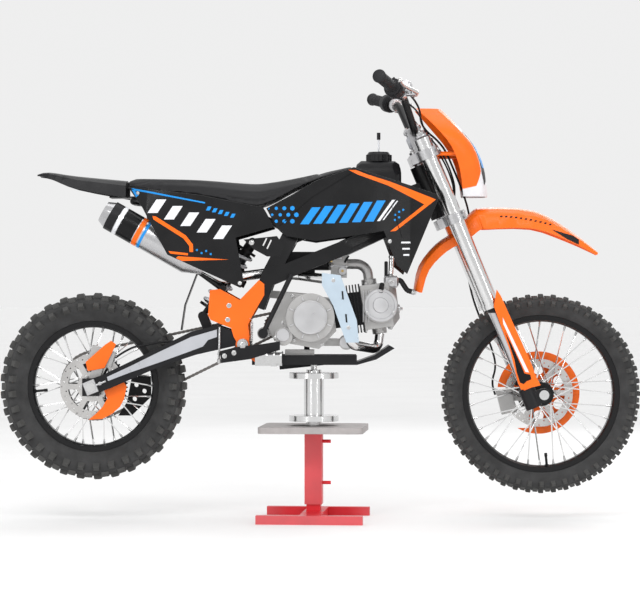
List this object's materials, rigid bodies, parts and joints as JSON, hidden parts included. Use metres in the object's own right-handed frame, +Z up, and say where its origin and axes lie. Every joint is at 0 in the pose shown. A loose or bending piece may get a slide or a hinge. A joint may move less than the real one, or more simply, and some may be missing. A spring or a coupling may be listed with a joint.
{
  "type": "dirt bike on a paddock stand",
  "caption": "Small off-road motorcycle with knobbly tyres, steering fork, free wheels, air-cooled engine and long seat, held level under its cradle by a paddock stand.",
  "frame": {"origin": "centre of the whole bounding box at floor level, on the paddock stand's underside", "axes": "+X forward along the bike, +Y to the bike's left, +Z up"},
  "size_m": [1.843, 0.792, 1.2609],
  "materials": {
    "stand_red": "gloss",
    "stand_grey": "satin",
    "stand_steel": "turned",
    "black_frame": "satin",
    "orange_metal": "satin",
    "bright_steel": "brushed",
    "silver_alloy": "satin",
    "cast_alloy": "cast",
    "black_alloy": "satin",
    "chrome": "polished",
    "shield_alloy": "matte",
    "dark_steel": "satin",
    "white_spring": "satin",
    "hose_rubber": "matte",
    "orange_plastic": "gloss",
    "dark_plastic": "matte",
    "seat_cover": "grained",
    "black_plastic": "gloss",
    "grip_rubber": "matte",
    "white_plastic": "gloss",
    "tyre_rubber": "matte"
  },
  "bodies": {
    "bike": {"stand_base": "stand_red", "stand_plate": "stand_grey", "stand_post": "stand_steel", "frame": "black_frame", "pivot_plates": "orange_metal", "pivot_pin": "bright_steel", "subframe": "silver_alloy", "cradle": "black_frame", "engine_case": "cast_alloy", "clutch_cover": "cast_alloy", "cylinder_barrel": "black_alloy", "cylinder_head": "cast_alloy", "carburettor": "cast_alloy", "exhaust_header": "chrome", "heat_shield": "shield_alloy", "muffler": "silver_alloy", "footpegs": "bright_steel", "foot_controls": "dark_steel", "swingarm": "silver_alloy", "rear_axle": "bright_steel", "chain": "dark_steel", "front_sprocket": "dark_steel", "shock": "bright_steel", "shock_spring": "white_spring", "rear_caliper": "black_alloy", "rear_brake_hose": "hose_rubber", "rear_guards": "orange_plastic", "chain_guide": "dark_plastic", "inner_mudguard": "dark_plastic", "seat": "seat_cover", "fuel_tank": "dark_plastic", "tank_cap": "dark_plastic", "side_panels": "black_plastic", "shrouds": "black_plastic", "rear_fender": "black_plastic"},
    "steering": {"triple_clamps": "black_alloy", "fork_tubes": "silver_alloy", "fork_sliders": "chrome", "fork_guards": "orange_plastic", "front_axle": "bright_steel", "front_caliper": "black_alloy", "front_disc_guard": "orange_plastic", "front_fender": "orange_plastic", "handlebar": "silver_alloy", "grips": "grip_rubber", "hand_levers": "silver_alloy", "front_brake_hose": "hose_rubber", "throttle_cable": "hose_rubber", "clutch_cable": "hose_rubber", "number_plate": "white_plastic"},
    "front_wheel": {"front_tyre": "tyre_rubber", "front_rim": "silver_alloy", "front_hub": "black_alloy", "front_disc": "bright_steel"},
    "rear_wheel": {"rear_tyre": "tyre_rubber", "rear_rim": "silver_alloy", "rear_hub": "black_alloy", "rear_disc": "bright_steel", "rear_sprocket": "dark_steel"}
  },
  "joints": [
    {"name": "steering", "type": "hinge", "parent": "bike", "child": "steering", "pos_m": [0.31, 0, 0.961], "axis": [-0.3859, 0, 0.9225], "range_deg": [-40, 40]},
    {"name": "front_wheel_spin", "type": "hinge", "parent": "steering", "child": "front_wheel", "pos_m": [0.6345, 0, 0.364], "axis": [0, 1, 0], "continuous": true},
    {"name": "rear_wheel_spin", "type": "hinge", "parent": "bike", "child": "rear_wheel", "pos_m": [-0.6535, 0, 0.3855], "axis": [0, 1, 0], "continuous": true}
  ]
}
